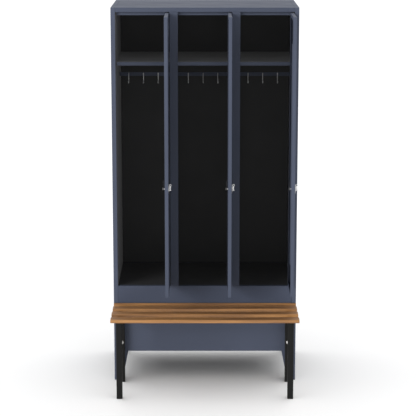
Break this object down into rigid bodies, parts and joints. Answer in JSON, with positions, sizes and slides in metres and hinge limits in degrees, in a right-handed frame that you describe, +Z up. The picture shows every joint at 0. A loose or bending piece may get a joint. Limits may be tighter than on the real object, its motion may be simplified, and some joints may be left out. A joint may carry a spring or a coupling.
{
  "type": "locker with bench",
  "caption": "Steel cloakroom locker with side-hinged doors, hat shelves and coat hooks, and a slatted wooden bench on tube legs bolted to its front.",
  "frame": {"origin": "on the floor, under the middle of the outline of cabinet and bench", "axes": "+Z up, +Y from the bench towards the back of the cabinet, +X to the right of someone facing the doors"},
  "size_m": [0.9, 0.815, 1.85],
  "materials": {
    "cabinet_coat": "blue-grey powder coat, fine texture, satin",
    "interior_coat": "graphite powder coat, matt",
    "bright_steel": "bright plated steel",
    "zinc": "zinc plated steel",
    "black_coat": "black powder coat, satin",
    "black_plastic": "black moulded plastic",
    "oiled_wood": "planed hardwood slats, oiled"
  },
  "bodies": {
    "carcass": {"side_panel_left": "cabinet_coat", "side_panel_right": "cabinet_coat", "partition_post_left": "cabinet_coat", "partition_post_right": "cabinet_coat", "partition_sheet_left": "interior_coat", "partition_sheet_right": "interior_coat", "back_panel": "interior_coat", "top_panel": "cabinet_coat", "floor_panel": "interior_coat", "base_front_panel": "cabinet_coat", "base_back_panel": "cabinet_coat", "hat_shelf_left": "cabinet_coat", "hat_shelf_middle": "cabinet_coat", "hat_shelf_right": "cabinet_coat", "hook_rail_left": "bright_steel", "hook_rail_middle": "bright_steel", "hook_rail_right": "bright_steel", "hinge_pin_lower_left": "zinc", "hinge_pin_upper_left": "zinc", "hinge_pin_lower_middle": "zinc", "hinge_pin_upper_middle": "zinc", "hinge_pin_lower_right": "zinc", "hinge_pin_upper_right": "zinc", "bench_slat_front": "oiled_wood", "bench_slat_middle": "oiled_wood", "bench_slat_rear": "oiled_wood", "bench_batten": "oiled_wood", "bench_leg_front_left": "black_coat", "bench_leg_front_right": "black_coat", "bench_leg_rear_left": "black_coat", "bench_leg_rear_right": "black_coat", "bench_rail_left": "black_coat", "bench_rail_right": "black_coat", "bench_cross_rail": "black_coat", "leg_glide_front_left": "black_plastic", "leg_glide_front_right": "black_plastic", "leg_glide_rear_left": "black_plastic", "leg_glide_rear_right": "black_plastic", "bench_bolt_left": "zinc", "bench_bolt_right": "zinc", "bench_nut_left": "zinc", "bench_nut_right": "zinc", "bench_spacer_left": "black_plastic", "bench_spacer_right": "black_plastic"},
    "door_left": {"door_pan_left": "cabinet_coat", "door_stiffener_left": "cabinet_coat", "latch_rosette_left": "bright_steel"},
    "latch_left": {"latch_knob_left": "bright_steel", "latch_cam_left": "zinc"},
    "door_middle": {"door_pan_middle": "cabinet_coat", "door_stiffener_middle": "cabinet_coat", "latch_rosette_middle": "bright_steel"},
    "latch_middle": {"latch_knob_middle": "bright_steel", "latch_cam_middle": "zinc"},
    "door_right": {"door_pan_right": "cabinet_coat", "door_stiffener_right": "cabinet_coat", "latch_rosette_right": "bright_steel"},
    "latch_right": {"latch_knob_right": "bright_steel", "latch_cam_right": "zinc"}
  },
  "joints": [
    {"name": "door_left_hinge", "type": "hinge", "parent": "carcass", "child": "door_left", "pos_m": [-0.1785, -0.0865, 1.1565], "axis": [0, 0, 1], "range_deg": [-90, 15]},
    {"name": "latch_left_turn", "type": "hinge", "parent": "door_left", "child": "latch_left", "pos_m": [-0.1725, -0.3035, 1.0125], "axis": [1, 0, 0], "range_deg": [0, 90]},
    {"name": "door_middle_hinge", "type": "hinge", "parent": "carcass", "child": "door_middle", "pos_m": [0.1205, -0.0865, 1.1565], "axis": [0, 0, 1], "range_deg": [-90, 15]},
    {"name": "latch_middle_turn", "type": "hinge", "parent": "door_middle", "child": "latch_middle", "pos_m": [0.1265, -0.3035, 1.0125], "axis": [1, 0, 0], "range_deg": [0, 90]},
    {"name": "door_right_hinge", "type": "hinge", "parent": "carcass", "child": "door_right", "pos_m": [0.4195, -0.0865, 1.1565], "axis": [0, 0, 1], "range_deg": [-90, 15]},
    {"name": "latch_right_turn", "type": "hinge", "parent": "door_right", "child": "latch_right", "pos_m": [0.4255, -0.3035, 1.0125], "axis": [1, 0, 0], "range_deg": [0, 90]}
  ]
}
